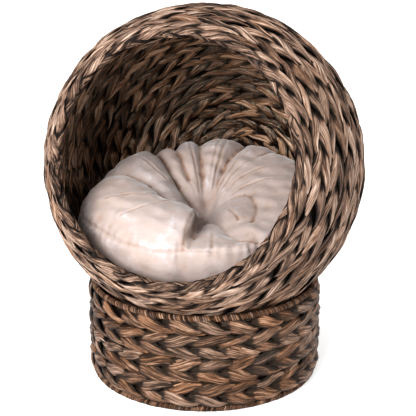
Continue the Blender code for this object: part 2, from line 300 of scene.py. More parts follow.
def lobes(name, place, rows):
    """Closed lobes of leaf on a wall map.

    Each row is a dict: angle and across of every lobe's middle, the radius there, pitch
    and half width of the row, slant, way round, wide and rise of a lobe, tuck for how far
    its ends pass the neighbours', and ride for a lift of the whole lobe.  The middle line
    is a half wave, -cos(phase); the width is along^0.42 * (1 - along)^0.95; and the
    section is a roof, a flat strap and some flutes added up.
    """
    data = {}
    for key in rows[0]:
        parts = [np.broadcast_to(row[key], np.shape(row["angle"])) for row in rows]
        data[key] = np.concatenate(parts)[:, None, None]
    count = len(data["angle"])

    def wobble(measure):
        """A random number for each lobe, within two of the measure's spreads of 0."""
        spread = WOBBLE[measure]
        return rng.normal(0.0, spread, count).clip(-2.0 * spread, 2.0 * spread)[:, None, None]

    along = np.linspace(0.0, 1.0, STATIONS)[None, :, None]
    over = np.linspace(-1.0, 1.0, TOP_POINTS)
    u = np.append(over, 0.0)[None, None, :]
    is_under = np.append(np.zeros(TOP_POINTS), 1.0)[None, None, :]

    # the middle line, and its direction for the width to stand square on
    tuck = data["tuck"] * (1 + wobble("tuck"))
    phase = math.pi * (along * (1 + 2 * tuck) - tuck)
    swing = data["half"] * SWING * (1 + wobble("swing"))
    length = data["pitch"] * (1 + wobble("length"))
    run = length * (phase / math.pi - 0.5) + data["pitch"] * wobble("shift along")
    sway = -data["slant"] * swing * np.cos(phase) + data["half"] * wobble("shift across")
    d_run = length / math.pi + 0 * phase
    d_sway = data["slant"] * swing * np.sin(phase)
    norm = np.hypot(d_run, d_sway)

    # the width, and the height of the section over it
    swell = along ** 0.42 * (1 - along) ** 0.95
    swell = swell / swell.max() * 0.95 + 0.05
    wide = data["wide"] * swell * (1 + wobble("width"))
    crease = wobble("crease")
    roof = 1 - (np.abs(u - crease) / (1 + np.abs(crease))) ** 1.05
    strap = 1 - np.abs(u) ** 5
    flutes = 2.2 + wobble("flutes")
    flute = np.cos(math.pi * (flutes * u + 3 * wobble("flute place") + 1.2 * along))
    strand = (0.60 * roof + 0.40 * strap + 0.20 * flute * strap) * swell ** 0.5
    strand = data["rise"] * (1 + wobble("rise")) * strand

    # the lift off the wall: the rope's roundness and the strand's, less the dive at the ends
    run = run - wide * u * d_sway / norm
    sway = sway + wide * u * d_run / norm
    rope = 1 - np.minimum(np.abs(sway) / data["half"], 1.5) ** 2
    tilt = u * wobble("tilt") * data["rise"] * swell
    sink = ROOT_DIVE * (1 - np.minimum(along / 0.45, 1.0)) ** 1.3
    sink = sink + TIP_DIVE * (1 - np.minimum((1 - along) / 0.14, 1.0)) ** 2
    lift = data["ride"] + ROPE_RISE * rope + strand + tilt - sink + wobble("lift") + 0 * run
    lift = lift - is_under * (LEAF_THICK + strand)

    angle = data["angle"] + data["way"] * run / data["radius"]
    across = data["across"] + data["way"] * sway
    points = place(angle, across, lift)

    one = grid_faces(STATIONS, LOBE_RING, tube=True)
    start = np.arange(LOBE_RING)[None, ::-1]
    end = np.arange(LOBE_RING)[None, :] + (STATIONS - 1) * LOBE_RING
    offset = (np.arange(count) * STATIONS * LOBE_RING)[:, None, None]
    quads = (one[None] + offset).reshape(-1, 4)
    caps = (np.concatenate([start, end])[None] + offset).reshape(-1, LOBE_RING)

    # the material reads a tone, a painted shade that darkens the leaf near its edges and root, and a
    # hue
    seed = rng.random((count, 3))[:, :, None, None]
    ones = np.ones(points.shape[:3])
    uv = np.stack([
        (u * wide * UV_ACROSS + UV_SPREAD[0] * seed[:, 0]) * ones,
        (along * length * UV_ALONG + UV_SPREAD[1] * seed[:, 1]) * ones,
    ], axis=-1)
    # painted shade: the leaf darkens towards its edges, most where its root dives under a neighbour, a
    # little at its tip
    painted_dive_shade = np.maximum(np.abs(u) ** 6, 1 - np.minimum(along / 0.28, 1))
    painted_dive_shade = np.maximum(painted_dive_shade, 0.5 * (1 - np.minimum((1 - along) / 0.08, 1)))
    tone = np.stack([seed[:, 2] * ones, painted_dive_shade * ones, seed[:, 0] * ones], axis=-1)
    piece = mesh_piece(name, points, [quads, caps], uv, tone)
    piece.data.set_sharp_from_angle(angle=SHARP)
    return piece


def ring_of(count, offset=0.0):
    """Angles of the middles of count lobes spread round a row."""
    return 2 * math.pi * (np.arange(count) + offset) / count


def row_of(count, offset, radius, **measures):
    """One row of count lobes round a radius, with its other measures given by name."""
    pitch = 2 * math.pi * radius / count
    row = {"angle": ring_of(count, offset), "radius": radius, "pitch": pitch}
    return {**row, "tuck": TUCK, "ride": 0.0, **measures}


def with_splits(rows, share):
    """The rows, and over a share of their lobes a second, narrower strip of the same leaf."""
    strips = []
    for row in rows:
        count = len(row["angle"])
        chosen = rng.random(count) < share
        lobe_angle = row["pitch"] / row["radius"]
        side = np.where(rng.random(count) < 0.5, -1.0, 1.0)[chosen]
        strips.append({
            **row,
            "angle": row["angle"][chosen] + rng.normal(0, 0.10, chosen.sum()) * lobe_angle,
            "across": row["across"] + side * row["half"] * rng.uniform(0.1, 0.45, chosen.sum()),
            "wide": row["wide"] * rng.uniform(0.32, 0.62, chosen.sum()),
            "rise": row["rise"] * 0.55,
            "pitch": row["pitch"] * rng.uniform(0.75, 1.05, chosen.sum()),
            "ride": row["ride"] + 0.0008,
        })
    return rows + strips


# %% [markdown]
# ## Pod, outside
#
# The stakes that the leaf is twined round run from the mouth to the back, so the lobes
# of every row have the same count until the ball narrows and stakes are dropped.
# Rows slant by turns one way and the other, which makes the plaited look.

# %% Twine the outside of the pod
STAKE_SHARES = ((0.20, 0.22), (0.45, 0.40), (0.72, 0.67), (1.00, 1.00))  # up to a sine, stakes left
BACK_ANGLE = math.radians(175)  # from the mouth's axis to the last row


def pod_rows(side, first, row_height, stakes, wide, rise):
    """Rows of lobes from the lip towards the back; side is +1 outside, -1 inside."""
    rows = []
    ball = MIDDLE + side * LEAF_HALF
    across = first
    index = 0
    while LIP_ANGLE + (across - LIP_QUARTER) / ball < BACK_ANGLE:
        sine = math.sin(LIP_ANGLE + (across - LIP_QUARTER) / ball)
        share = next(share for limit, share in STAKE_SHARES if sine <= limit)
        count = max(5, round(stakes * share))
        rows.append(row_of(
            count, rng.normal(0, 0.06) + 0.25 * (index % 2), ball * sine,
            across=side * across, half=row_height / 2, slant=side * (1.0 if index % 2 else -1.0),
            way=-1.0 * side, wide=wide, rise=rise,
        ))
        across += row_height
        index += 1
    print(len(rows), "rows with", [len(row["angle"]) for row in rows], "lobes")
    return rows


outer_rows = pod_rows(1, first=0.0200, row_height=0.0187, stakes=28, wide=0.0108, rise=0.0028)
outer_leaf = lobes("pod_outer_leaf", on_pod, with_splits(outer_rows, 0.30))
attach(outer_leaf, "basket")
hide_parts("pod_outer_weave")

# %% [markdown]
# The last row at the back leaves a small hole, which weavers close with a coiled knot.
# It is a low dome with spiral ridges: height = dome * (1 - s^2) + ridge * cos(3 a + 9 s),
# where s runs from 0 in its middle to 1 at its edge and a is the angle.  Coiling a cord
# there would cost many faces for a thing that is seen only from behind.

# %% Close the back
KNOT_TURNS = 48  # points round the knot
KNOT_STEPS = 10  # points from its middle to its edge
RIDGES = 3
SWIRL = 9  # radians that a ridge turns on its way in


def back_knot(name, reach, dome, ridge, deep):
    """Coiled knot on the back pole: a ridged dome over a shallow cone that closes it."""
    s = np.linspace(1.0, 0.0, KNOT_STEPS + 2)[None, 1:-1]
    around = ring_of(KNOT_TURNS)[:, None]
    spiral = RIDGES * around + SWIRL * s
    top = dome * (1 - s ** 2) + ridge * np.cos(spiral) * (1 - s ** 4)
    radius = reach * (s + 0 * around)
    centre = pod_centre - mouth_axis * (MIDDLE + LEAF_HALF)
    flat = np.cos(around)[..., None] * X + np.sin(around)[..., None] * mouth_up
    points = centre + radius[..., None] * flat - top[..., None] * mouth_axis
    ends = np.array([centre - mouth_axis * dome, centre + mouth_axis * deep])
    tip, foot = points[..., 0].size, points[..., 0].size + 1
    faces = [
        grid_faces(KNOT_TURNS, KNOT_STEPS, turned=True),
        pole_faces(KNOT_TURNS, KNOT_STEPS, foot, tip),
    ]
    across = np.concatenate([(0.5 * spiral).ravel(), [0.0, 0.0]])
    along = np.concatenate([(2.0 * s + 0 * around).ravel(), [0.0, 2.0]])
    tone = np.full((foot + 1, 3), 0.5)
    # painted shade: the knot darkens in the grooves between its ridges, and most at its foot
    tone[:, 1] = np.concatenate([(0.5 - 0.5 * np.cos(spiral)).ravel(), [0.3, 1.0]])
    points = np.concatenate([points.reshape(-1, 3), ends])
    return mesh_piece(name, points, faces, np.stack([across, along], axis=-1), tone)


knot = back_knot("pod_back_knot", reach=0.017, dome=0.0060, ridge=0.0010, deep=0.004)
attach(knot, "basket")

# %% [markdown]
# ## Pod, inside
#
# The inside of the wall is twined with narrower leaf on more stakes.  The same rows do
# it on the other side of the wall map, where the distance from the lip is negative.

# %% Twine the inside of the pod
inner_rows = pod_rows(-1, first=0.0190, row_height=0.0170, stakes=32, wide=0.0088, rise=0.0028)
inner_leaf = lobes("pod_inner_leaf", on_pod, with_splits(inner_rows, 0.45))
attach(inner_leaf, "basket")
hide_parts("pod_inner_weave")

# %% [markdown]
# ## Braid round the mouth
#
# A flat braid covers the wall's end.  Two rows that slant against each other, one on
# each side of the lip's crest, give its herringbone.  Their leaf is wide and lies flat.

# %% Lay the braid round the mouth
LIP_LOBES = 24
lip_radius = MIDDLE * math.sin(LIP_ANGLE)


def lip_row(across, slant, offset):
    """One row of the braid, at a distance across from the lip's crest."""
    return row_of(
        LIP_LOBES, offset, lip_radius,
        across=across, half=0.0095, slant=slant, way=-1.0, wide=0.0105, rise=0.0016, tuck=TUCK + 0.02,
    )


lip_rows = [lip_row(0.0060, slant=-1.0, offset=0.0), lip_row(-0.0060, slant=1.0, offset=0.5)]
lip_leaf = lobes("pod_lip_leaf", on_pod, with_splits(lip_rows, 0.6))
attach(lip_leaf, "basket")
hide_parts("pod_rim_braid")

# %% [markdown]
# ## Drum
#
# The drum is twined the same way, but its rows lie level and its lobes are broader.
# Its wall map is plain: the distance across is the height, and the lift is level.

# %% Twine the drum
DRUM_ROWS = 7
DRUM_LOBES = 26
drum_pitch = (wall_high - wall_low) / DRUM_ROWS


def drum_rows(side):
    """Rows of lobes from the top of the drum down; side is +1 outside, -1 inside."""
    radius = ring_radius + side * DRUM_HALF
    rows = []
    for index in range(DRUM_ROWS):
        rows.append(row_of(
            DRUM_LOBES, rng.normal(0, 0.05), radius,
            across=wall_high - drum_pitch * (index + 0.5), half=drum_pitch / 2,
            slant=1.0 if index % 2 else -1.0, way=1.0, wide=0.0132, rise=0.0034,
        ))
    return with_splits(rows, 0.30)


drum_outer_rows = drum_rows(1)
drum_inner_rows = drum_rows(-1)
drum_leaf = lobes("drum_outer_leaf", on_drum(1), drum_outer_rows)
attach(drum_leaf, "basket")
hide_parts("base_outer_weave")
drum_inside = lobes("drum_inner_leaf", on_drum(-1), drum_inner_rows)
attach(drum_inside, "basket")
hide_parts("base_inner_weave")

# %% [markdown]
# ## Cores of the walls
#
# Between the lobes one sees into the wall, which lies in shade.  A closed skin just under the
# leaf stands for it, nearly black as painted shade, and hides the wires, as the imported
# leaf does on the real wall.

# %% Core surfaces
CORE_LIFT = -0.0024  # from the middle of the leaf to the core's skin
CORE_TURNS = 96
CORE_STEPS = 40  # points from the lip to the back
LIP_STEPS = 9
DRUM_STEPS = 8
RIM_GAP = 0.002  # the core stops this far short of the drum's rings


def ball_core(name):
    """The pod map with a constant lift, from the inner back pole round the lip to the outer one."""
    outer_reach = LIP_QUARTER + (MIDDLE + LEAF_HALF) * (math.pi - LIP_ANGLE)
    inner_reach = LIP_QUARTER + (MIDDLE - LEAF_HALF) * (math.pi - LIP_ANGLE)
    section = np.concatenate([
        np.linspace(-inner_reach, -LIP_QUARTER, CORE_STEPS),
        np.linspace(-LIP_QUARTER, LIP_QUARTER, LIP_STEPS)[1:-1],
        np.linspace(LIP_QUARTER, outer_reach, CORE_STEPS),
    ])
    turn = ring_of(CORE_TURNS)[:, None]
    points = on_pod(turn + 0 * section, section + 0 * turn, CORE_LIFT + 0 * (turn + section))
    columns = len(section) - 2
    between = points[:, 1:-1].reshape(-1, 3)
    poles = points[0, [0, -1]]
    faces = [
        grid_faces(CORE_TURNS, columns, turned=True),
        pole_faces(CORE_TURNS, columns, len(between), len(between) + 1),
    ]
    return mesh_piece(name, np.concatenate([between, poles]), faces)


def sleeve_core(name):
    """Upright sleeve about the drum's axis: up its outer side and down its inner one."""
    half = DRUM_HALF + CORE_LIFT
    rise = np.linspace(wall_low + RIM_GAP, wall_high - RIM_GAP, DRUM_STEPS)
    turn = ring_of(CORE_TURNS)[:, None]
    height = np.concatenate([rise, rise[::-1]]) + 0 * turn
    radius = ring_radius + np.repeat([half, -half], DRUM_STEPS) + 0 * turn
    faces = grid_faces(CORE_TURNS, 2 * DRUM_STEPS, turned=True, tube=True)
    return mesh_piece(name, about_drum(radius, turn, height), [faces])


pod_core = ball_core("pod_wall_core")
drum_core = sleeve_core("drum_wall_core")
for core in (pod_core, drum_core):
    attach(core, "basket")

# %% [markdown]
# ## Wound rings
#
# The rings at the top and foot of the drum are wire wound with narrow strips.  Winding
# is a torus whose radius swells inside every strip, so one formula does the whole ring:
# r = core + rise * (1 - f^4), where f runs from -1 to 1 across a strip, and the strips
# lean because f also depends on the angle round the section.

# %% Wind the rings
SECTION = 10  # points round a ring's section
PER_STRIP = 4  # points across one strip
STRIP_RISE = 0.0011  # how far the thickest strip stands out at its middle


def wound_ring(name, node, strips, lean):
    """Torus in the place of a frame node, wound with strips that lean by some widths."""
    low, high = box_corners(node)
    full = (high[2] - low[2]) / 2
    big = (high[0] - low[0]) / 2 - full
    turns = strips * PER_STRIP
    turn = 2 * math.pi * np.arange(turns)[:, None] / turns
    section = 2 * math.pi * np.arange(SECTION)[None, :] / SECTION
    count = strips * turn / (2 * math.pi) + lean * np.sin(section) + 0.25 * np.sin(9 * turn)
    index = np.floor(count).astype(int) % strips
    f = 2 * (count - np.floor(count)) - 1
    thick = rng.uniform(0.3, 1.0, strips)[index]
    small = full - STRIP_RISE + STRIP_RISE * thick * (1 - f ** 4)
    radius = big + small * np.cos(section)
    points = about_drum(radius, turn, (low[2] + high[2]) / 2 + small * np.sin(section) + 0 * turn)
    seed = rng.random((strips, 2))[index]
    # painted shade: each strip darkens towards its edges, where it meets the next
    tone = np.stack([seed[..., 0], f ** 4, seed[..., 1]], axis=-1)
    uv = np.stack([0.3 * f, 0.2 * np.cos(section) + 0 * f], axis=-1) + seed * UV_SPREAD
    piece = mesh_piece(name, points, [grid_faces(turns, SECTION, turned=True, tube=True)], uv, tone)
    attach(piece, "basket")
    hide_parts(node)
    return piece


top_cord = wound_ring("drum_top_cord", "base_top_wrap", strips=300, lean=0.5)
foot_cord = wound_ring("drum_foot_cord", "base_bottom_wrap", strips=290, lean=-0.5)

# %% [markdown]
# ## Cushion
#
# The cushion is a round box cushion whose top is pulled down to a tuft in the middle.
# The pull makes deep folds that run out to the seam, and between them the cover
# stands up in puffy petals.  Only the folds are drawn, as curves seen from
# above.  The petals come from a cloth simulation: the folds, the seams and the tuft
# are held, and air pressure swells whatever is free.

# %% Measure the cushion
band = vertices(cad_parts["cushion_side_band"].data)
seat_axis = np.linalg.svd(band - band.mean(axis=0), full_matrices=False)[2][2]
seat_axis = seat_axis * np.sign(seat_axis[2])
seat_back = np.cross(seat_axis, X)
band_height = np.ptp(band @ seat_axis)
seat_middle = band.mean(axis=0)
seat_middle = seat_middle + seat_axis * ((band @ seat_axis).max() - seat_middle @ seat_axis)
top_rim = vertices(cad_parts["cushion_top_panel"].data) - seat_middle
seam_radius = np.hypot(top_rim @ X, top_rim @ seat_back).max()
print("seam radius", round(seam_radius, 4), "band height", round(band_height, 4))


def from_seat(x, y, z):
    """Point at x to the right, y to the back and z up from the middle of the top seam."""
    return seat_middle + x[..., None] * X + y[..., None] * seat_back + z[..., None] * seat_axis


def to_seat(points):
    """The three seat distances of each point, the inverse of from_seat."""
    away = points - seat_middle
    return away @ X, away @ seat_back, away @ seat_axis


# %% [markdown]
# Each fold is a curve given by a few distances from the tuft and the angle at each, a
# depth and a half width.  The height of the cover falls off towards the nearest point
# of the curve as depth * exp(-distance / width), which gives a sharp valley with full
# shoulders, as a fold between two stuffed petals has.  A wrinkle is a curve alone, for
# the cover's small creases.

# %% Folds
FOLDS = (
    ((0.015, 0.185), (-80, -84), 0.022, 0.009),
    ((0.030, 0.160, 0.187), (-60, -55, -47), 0.012, 0.008),
    ((0.012, 0.038, 0.075, 0.115, 0.190), (175, 162, 150, 143, 140), 0.032, 0.010),
    ((0.050, 0.061, 0.075, 0.088, 0.133, 0.175), (-105, -120, -148, -169, -179, -177), 0.022, 0.010),
    ((0.060, 0.130, 0.190), (134, 128, 126), 0.018, 0.008),
    ((0.020, 0.140, 0.190), (112, 111, 110), 0.020, 0.007),
    ((0.020, 0.174, 0.190), (86, 80, 79), 0.022, 0.008),
    ((0.110, 0.190), (60, 59), 0.010, 0.010),
    ((0.020, 0.062, 0.090, 0.131), (25, 3, -16, -40), 0.009, 0.009),
)
WRINKLES = (
    ((0.070, 0.120, 0.185), (172, 163, 163)),
    ((0.095, 0.140, 0.180), (-160, -158, -163)),
    ((0.060, 0.110, 0.165), (-135, -128, -140)),
    ((0.080, 0.120, 0.170), (-108, -112, -122)),
    ((0.060, 0.100, 0.180), (152, 152, 151)),
    ((0.030, 0.090, 0.150), (122, 119, 118)),
    ((0.020, 0.080, 0.160), (100, 97, 97)),
    ((0.020, 0.080, 0.170), (92, 91, 92)),
    ((0.020, 0.070, 0.120), (76, 72, 70)),
    ((0.030, 0.090, 0.150), (64, 60, 49)),
    ((0.040, 0.100, 0.180), (48, 38, 33)),
    ((0.040, 0.080, 0.140), (24, 18, 14)),
    ((0.030, 0.070, 0.110), (-25, -40, -46)),
    ((0.060, 0.120, 0.175), (-66, -68, -70)),
)


def curves_of(folds):
    """Every curve as an array of points (x, y) about 3 mm apart, from its first two entries."""
    lines = []
    for distances, angles, *_ in folds:
        along = np.linspace(distances[0], distances[-1], 60)
        angle = np.radians(np.interp(along, distances, angles))
        lines.append(np.stack([along * np.cos(angle), along * np.sin(angle)], axis=-1))
    return lines


fold_curves = curves_of(FOLDS)
print(len(FOLDS), "folds and", len(WRINKLES), "wrinkles")


def distance_to(line, x, y):
    """Distance from each (x, y) to the nearest point of a line."""
    gaps = np.hypot(x[..., None] - line[:, 0], y[..., None] - line[:, 1])
    return gaps.min(axis=-1)


def bell(gap, width):
    """exp(-(gap / width)^2), a bump of height 1 round a gap of 0."""
    return np.exp(-((gap / width) ** 2))


def smooth_step(low, high, value):
    """0 below low, 1 above high, and 3 s^2 - 2 s^3 in between."""
    s = np.clip((value - low) / (high - low), 0.0, 1.0)
    return s * s * (3 - 2 * s)


def seam_line(angle):
    """Radius and height of the top seam at an angle: a circle, drawn in at the folds."""
    radius = seam_radius - 0.003 + 0.0015 * np.sin(7 * angle + 1.0)
    radius = radius + 0.013 * bell(np.degrees(angle) + 150, 42)
    height = 0.002 * np.sin(5 * angle + 0.6) + 0.0012 * np.sin(13 * angle)
    for (distances, angles, depth, width), line in zip(FOLDS, fold_curves):
        if distances[-1] > 0.17:
            gap = np.abs(np.angle(np.exp(1j * (angle - math.radians(angles[-1]))))) * seam_radius
            radius = radius - 0.45 * depth * np.exp(-gap / 0.014)
    return radius, height


# angles in degrees, and how high the petals stand there
PETAL = ((-180, -140, -100, -84, -81, -55, -44, 0, 60, 100, 150, 180),
         (0.050, 0.050, 0.044, 0.042, 0.002, 0.000, 0.016, 0.036, 0.048, 0.052, 0.054, 0.050))
TUFT_DROP = 0.026


def cover_height(x, y, share, angle):
    """Height of the top cover: petals, less the pull of the tuft, less the folds."""
    petal = np.interp(np.degrees(angle), *PETAL)
    distance = np.hypot(x, y)
    height = petal * (1 - share ** 7) - (petal + TUFT_DROP) * np.exp(-((distance / 0.062) ** 1.25))
    for (distances, angles, depth, width), line in zip(FOLDS, fold_curves):
        height = height - depth * np.exp(-distance_to(line, x, y) / width) * (1 - share ** 6)
    return height


# %% [markdown]
# Before it is filled, the cushion is a turned form with one line of points for every
# angle: out over the cover to the seam, down the side band, and in again over the
# belly, which hangs below the band as z = -band - drop * (1 - share^2).

# %% Shape the cushion before it is filled
TURN_STEPS = 160
TOP_STEPS = 46
BAND_STEPS = 14
BELLY_STEPS = 24
BELLY_DROP = 0.055


def cushion_form():
    """Points of the cushion before it is filled, one line of them for every angle."""
    angle = (2 * math.pi * np.arange(TURN_STEPS) / TURN_STEPS - math.pi)[:, None]
    seam_r, seam_z = seam_line(angle)
    share = np.linspace(0.0, 1.0, TOP_STEPS)[None, :]
    top_x = seam_r * share * np.cos(angle)
    top_y = seam_r * share * np.sin(angle)
    top_z = cover_height(top_x, top_y, share + 0 * angle, angle + 0 * share) + seam_z * share ** 3

    # the petal to the left of the front fold leans over it
    beside = (np.degrees(angle) + 82) * math.pi / 180 * np.hypot(top_x, top_y)
    lean = 0.018 * bell(beside - 0.002, 0.020) * smooth_step(0.0, 0.035, top_z) * (beside < 0.004)
    top_x = top_x + lean

    down = np.linspace(0.0, 1.0, BAND_STEPS)[None, 1:]
    band_r = seam_r + 0.006 * np.sin(math.pi * down)
    band_z = seam_z * (1 - down) - band_height * down
    inward = np.linspace(1.0, 0.0, BELLY_STEPS)[None, 1:]
    belly_z = -band_height - BELLY_DROP * (1 - inward ** 2) + 0 * angle
    below = np.concatenate([band_r, seam_r * inward], axis=1)
    x = np.concatenate([top_x, below * np.cos(angle)], axis=1)
    y = np.concatenate([top_y, below * np.sin(angle)], axis=1)
    return from_seat(x, y, np.concatenate([top_z, band_z, belly_z], axis=1))


unfilled = cushion_form()
cushion = mesh_piece("cushion", unfilled, [grid_faces(TURN_STEPS, unfilled.shape[1], turned=True)])

# %% [markdown]
# Real petals get their roundness from the filling's pressure, so the form is blown up
# as cloth.  An even mesh is wanted for that, which a remesh gives.  Points of weight 1
# stay where they are, as if sewn down, and no point may move further than a cap.

# %% Swell the cushion
VOXEL = 0.004  # size of the even mesh's faces
CLOTH_FRAMES = 20
PRESSURE = 4.0
MOST_MOVE = 0.011
SEAM_HOLD = (0.003, 0.010)  # held up to the first distance, and free past the second
TUFT_HOLD = (0.010, 0.022)
FOLD_HOLD = (0.002, 0.007)


def apply_modifiers(piece):
    """Give the piece the mesh that its modifiers make, and remove them."""
    depsgraph = bpy.context.evaluated_depsgraph_get()
    mesh = bpy.data.meshes.new_from_object(piece.evaluated_get(depsgraph))
    piece.modifiers.clear()
    piece.data = mesh


def held_weight(points):
    """1 on the folds, the seams, the tuft and the bottom, falling to 0 beside them."""
    x, y, z = to_seat(points)
    around = np.arctan2(y, x)
    seam_r, seam_z = seam_line(around)
    weight = np.where(z < -band_height + 0.004, 1.0, 0.0)
    seam_gap = np.hypot(np.hypot(x, y) - seam_r, z - seam_z)
    weight = np.maximum(weight, 1 - smooth_step(*SEAM_HOLD, seam_gap))
    weight = np.maximum(weight, 1 - smooth_step(*TUFT_HOLD, np.hypot(x, y)))
    degrees = np.degrees(around)
    in_valley = smooth_step(-82, -77, degrees) * (1 - smooth_step(-58, -50, degrees))
    weight = np.maximum(weight, 0.9 * in_valley * (z > seam_z - 0.02))
    for line in fold_curves:
        gap = np.where(z > seam_z - 0.03, distance_to(line, x, y), 1.0)
        weight = np.maximum(weight, 1 - smooth_step(*FOLD_HOLD, gap))
    return weight


def swell(piece):
    """Blow the piece up as cloth and keep each point within MOST_MOVE of where it began."""
    remesh = piece.modifiers.new("remesh", "REMESH")
    remesh.mode = "VOXEL"
    remesh.voxel_size = VOXEL
    remesh.adaptivity = 0.0
    apply_modifiers(piece)
    start = vertices(piece.data)
    weight = held_weight(start)
    group = piece.vertex_groups.new(name="held")
    for level in np.unique(weight.round(1)):
        chosen = np.flatnonzero(weight.round(1) == level)
        group.add(chosen.tolist(), float(level), "REPLACE")
    cloth = piece.modifiers.new("cloth", "CLOTH")
    cloth.settings.use_pressure = True
    cloth.settings.uniform_pressure_force = PRESSURE
    cloth.settings.effector_weights.gravity = 0.0
    cloth.settings.vertex_group_mass = "held"
    cloth.settings.tension_stiffness = 12
    cloth.settings.compression_stiffness = 6
    cloth.settings.bending_stiffness = 0.3
    scene = bpy.context.scene
    for frame_number in range(1, CLOTH_FRAMES + 1):
        scene.frame_set(frame_number)
    apply_modifiers(piece)
    move = vertices(piece.data) - start
    size = np.linalg.norm(move, axis=1, keepdims=True)
    move = move * np.minimum(1.0, MOST_MOVE / np.maximum(size, 1e-9))
    piece.data.vertices.foreach_set("co", (start + move).ravel())
    piece.vertex_groups.clear()
    scene.frame_set(1)
    print("cushion points", len(start), "moved at most", round(float(size.max()), 4))


swell(cushion)

# %% [markdown]
# The small things are too fine for the cloth, so they are moves along the normals:
# pleats round the tuft, puckers at the seam, shallow folds, wrinkles with raised sides.
# Each point also gets a painted shade and highlight: darker along the fold lines and in
# hollows, paler beside the wrinkles and on crests.  It comes from the fold lines and
# from how far the point stands out of the surface averaged round it.

# %% Smooth the cushion, crush it and paint shade and highlight on its velvet
PLEATS = 31  # round the tuft
PUCKERS = 74  # round the seam
CREST = 0.0011  # a point that stands out this far is a full crest
smooth = cushion.modifiers.new("smooth", "SMOOTH")
smooth.factor = 0.5
smooth.iterations = 1
finer = cushion.modifiers.new("finer", "SUBSURF")
finer.levels = finer.render_levels = 1
apply_modifiers(cushion)


def waves(x, y, count, low, high, seed):
    """Sum of count cosine waves of random direction and length between low and high."""
    waves_rng = np.random.default_rng(seed)
    total = np.zeros_like(x)
    for _ in range(count):
        turn = waves_rng.uniform(0, math.pi)
        reach = 2 * math.pi / waves_rng.uniform(low, high)
        total += np.cos(reach * (x * math.cos(turn) + y * math.sin(turn)) + waves_rng.uniform(0, 6.3))
    return total / math.sqrt(count)


def edge_ends(mesh):
    """The two vertex numbers of every edge."""
    ends = np.empty(len(mesh.edges) * 2, dtype=np.int64)
    mesh.edges.foreach_get("vertices", ends)
    return ends.reshape(-1, 2)


def stand_out(points, normals, edges, rounds):
    """Distance along its normal of each point from the surface averaged rounds times."""
    start, end = np.concatenate([edges, edges[:, ::-1]]).T
    count = np.bincount(start, minlength=len(points))
    smoothed = points
    for _ in range(rounds):
        sums = [np.bincount(start, smoothed[end, axis], len(points)) for axis in range(3)]
        smoothed = np.stack(sums, axis=-1) / count[:, None]
    return ((points - smoothed) * normals).sum(axis=-1)


def crush(piece):
    """Move the piece's points for its small folds, and paint shade in the hollows, highlight on
    crests.
    """
    points = vertices(piece.data)
    normals = vertices(piece.data, "normal")
    x, y, z = to_seat(points)
    around = np.arctan2(y, x)
    distance = np.hypot(x, y)
    seam_r, seam_z = seam_line(around)
    seam_gap = np.hypot(distance - seam_r, z - seam_z)
    on_top = smooth_step(-0.012, 0.0, z - seam_z)

    pleats = np.cos(PLEATS * around + 2.0 * waves(x, y, 4, 0.10, 0.2, 5)) * bell(distance, 0.050)
    pucker = np.cos(PUCKERS * around + 2.2 * waves(x, y, 5, 0.05, 0.12, 6)) * bell(seam_gap, 0.013)
    offset = 0.0009 * pleats * on_top + 0.0008 * pucker
    shade_and_highlight = np.zeros(len(points))
    # painted shade along the fold lines and in the wrinkles, painted highlight just beside each
    # wrinkle
    for (distances, angles, depth, width), line in zip(FOLDS, fold_curves):
        gap = distance_to(line, x, y)
        shade_and_highlight = np.maximum(shade_and_highlight, bell(gap, 0.0040) * on_top)
        offset = offset - 0.09 * depth * bell(gap, 0.0028) * on_top
    for line in curves_of(WRINKLES):
        gap = distance_to(line, x, y)
        shade_and_highlight = np.maximum(shade_and_highlight, 0.6 * bell(gap, 0.0028) * on_top)
        shade_and_highlight = shade_and_highlight - 0.45 * bell(gap - 0.0065, 0.0025) * on_top
        offset = offset + (0.0010 * bell(gap, 0.0060) - 0.0022 * bell(gap, 0.0022)) * on_top
    offset = offset - 0.0030 * bell(seam_gap, 0.0032)
    offset = offset + 0.0010 * waves(x, y + 0.7 * z, 14, 0.020, 0.060, 8)

    points = points + offset[:, None] * normals
    piece.data.vertices.foreach_set("co", points.ravel())
    piece.data.update()
    piece.data.shade_smooth()
    stands_out = stand_out(points, normals, edge_ends(piece.data), 12)
    # painted shade in the hollows and painted highlight on the crests
    shade_and_highlight = shade_and_highlight - 0.40 * np.clip(stands_out / CREST, -1.0, 1.0)
    attribute = piece.data.attributes.new("fold_shade_and_highlight", "FLOAT", "POINT")
    attribute.data.foreach_set("value", shade_and_highlight)
    print("cushion", len(points), "points, mark from", shade_and_highlight.min().round(2), "to", shade_and_highlight.max().round(2))


crush(cushion)
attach(cushion, "cushion")
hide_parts("cushion_top_panel", "cushion_side_band", "cushion_bottom_panel",
            "cushion_filling", "cushion_tuft_tie")

# %% [markdown]
# ## Finishes
#
# Dried leaf is streaky along its length, blotched, paler where it is raised and, as painted
# shade, nearly black where it dives under its neighbours.  The streaks follow the lobe's own
# UV map, and every lobe has its own tone.  A material is a small graph, so a few short
# helpers build its nodes.

# %% Node helpers
def new_material(name):
    """A new material, with its node tree and its surface shader."""
    material = bpy.data.materials.new(name)
    material.use_nodes = True
    tree = material.node_tree
    return material, tree, tree.nodes["Principled BSDF"]


def add(tree, kind, **settings):
    """A new node of this kind, with its settings."""
    node = tree.nodes.new(kind)
    for key, value in settings.items():
        setattr(node, key, value)
    return node


def maths(tree, operation, a, b=None):
    """Output of a Math node; a and b are sockets or numbers."""
    node = add(tree, "ShaderNodeMath", operation=operation)
    for socket, value in zip(node.inputs, (a, b)):
        if value is None:
            continue
        if isinstance(value, (int, float)):
            socket.default_value = value
        else:
            tree.links.new(value, socket)
    return node.outputs[0]


